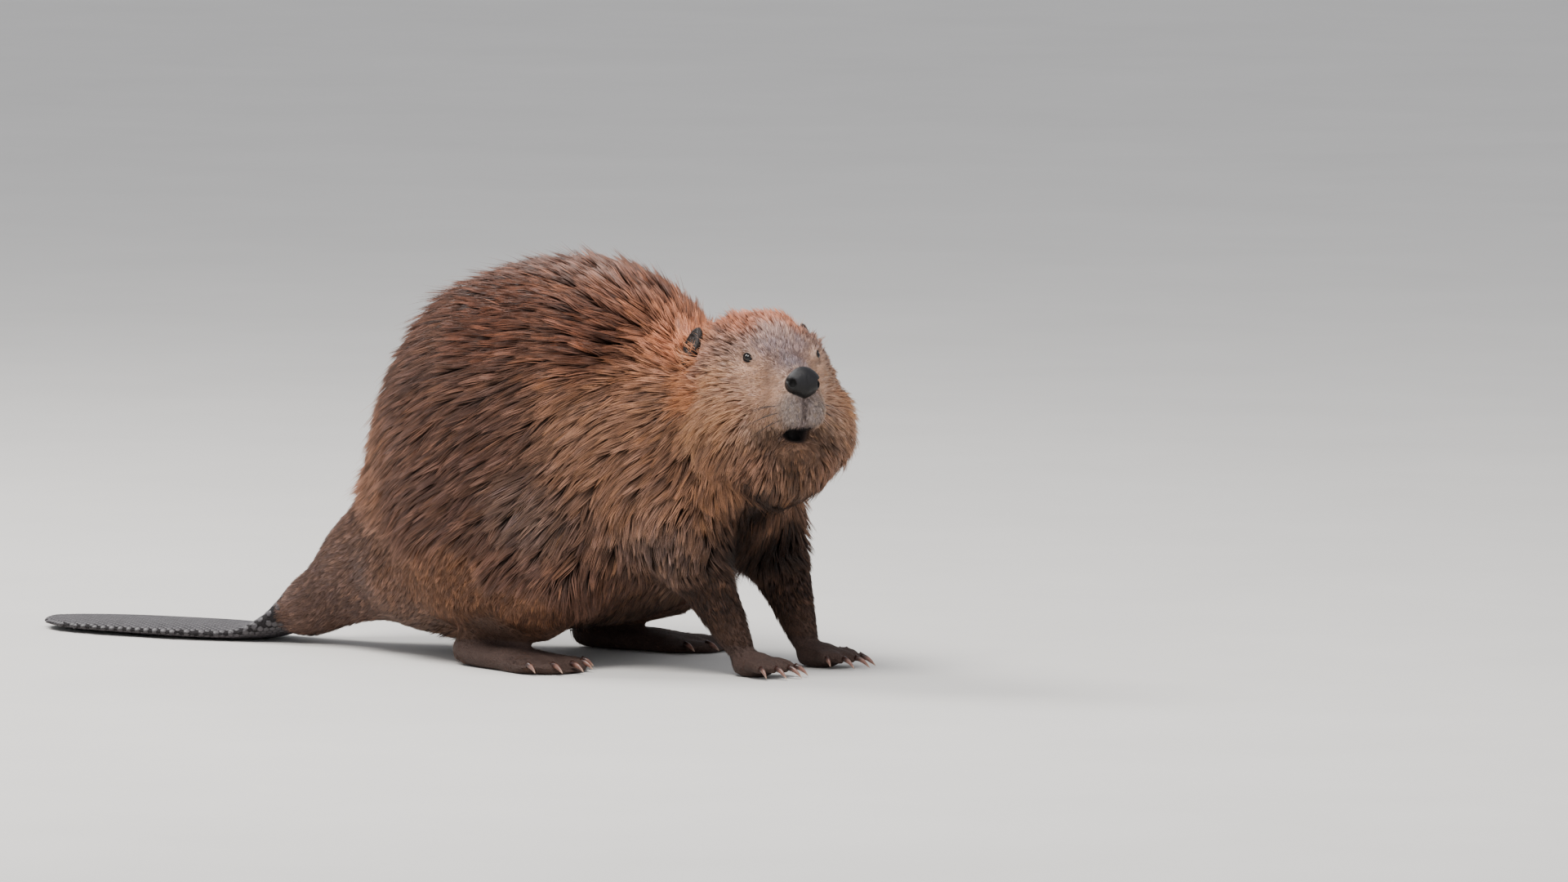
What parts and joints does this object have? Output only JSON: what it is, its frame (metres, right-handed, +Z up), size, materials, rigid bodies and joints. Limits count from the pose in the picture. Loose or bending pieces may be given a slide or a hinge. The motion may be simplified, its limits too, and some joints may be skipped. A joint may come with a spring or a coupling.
{
  "type": "beaver model",
  "caption": "Life-size still model of a beaver standing on all fours with an arched back, its head turned to the right, dense brown fur and a flat scaly tail",
  "frame": {"origin": "middle of the model's bounding box, on the floor under the belly", "axes": "+X forwards along the body and tail, +Y to the animal's left, +Z up"},
  "size_m": [0.953, 0.347, 0.3914],
  "materials": {
    "coat": "long overlapping guard hairs, reddish brown above and greyer brown below",
    "coat_pale": "fur of the face, tan on the cheeks, mauve grey on the forehead",
    "leg_coat": "short smooth dark brown fur",
    "foot_skin": "bare dark creased skin",
    "tail_scales": "blue-grey skin in fine overlapping rows of scales",
    "ear_skin": "thin dark skin with very short fur",
    "nose_skin": "near-black pebbled skin with a slight sheen",
    "eye": "wet and glossy",
    "claw": "horn, pinkish brown with a paler tip"
  },
  "bodies": {
    "root": {"claw_fore_left_1": "claw", "claw_fore_left_2": "claw", "claw_fore_left_3": "claw", "claw_fore_left_4": "claw", "claw_fore_left_5": "claw", "claw_fore_right_1": "claw", "claw_fore_right_2": "claw", "claw_fore_right_3": "claw", "claw_fore_right_4": "claw", "claw_fore_right_5": "claw", "claw_hind_left_1": "claw", "claw_hind_left_2": "claw", "claw_hind_left_3": "claw", "claw_hind_left_4": "claw", "claw_hind_left_5": "claw", "claw_hind_right_1": "claw", "claw_hind_right_2": "claw", "claw_hind_right_3": "claw", "claw_hind_right_4": "claw", "claw_hind_right_5": "claw", "ear_left": "ear_skin", "ear_right": "ear_skin", "eye_left": "eye", "eye_right": "eye", "foot_hind_left": "foot_skin", "foot_hind_right": "foot_skin", "foreleg_left": "leg_coat", "foreleg_right": "leg_coat", "forepaw_left": "foot_skin", "forepaw_right": "foot_skin", "head": "coat_pale", "neck": "coat", "nose": "nose_skin", "tail": "tail_scales", "tail_root": "leg_coat", "thigh_left": "coat", "thigh_right": "coat", "trunk": "coat"}
  },
  "joints": []
}
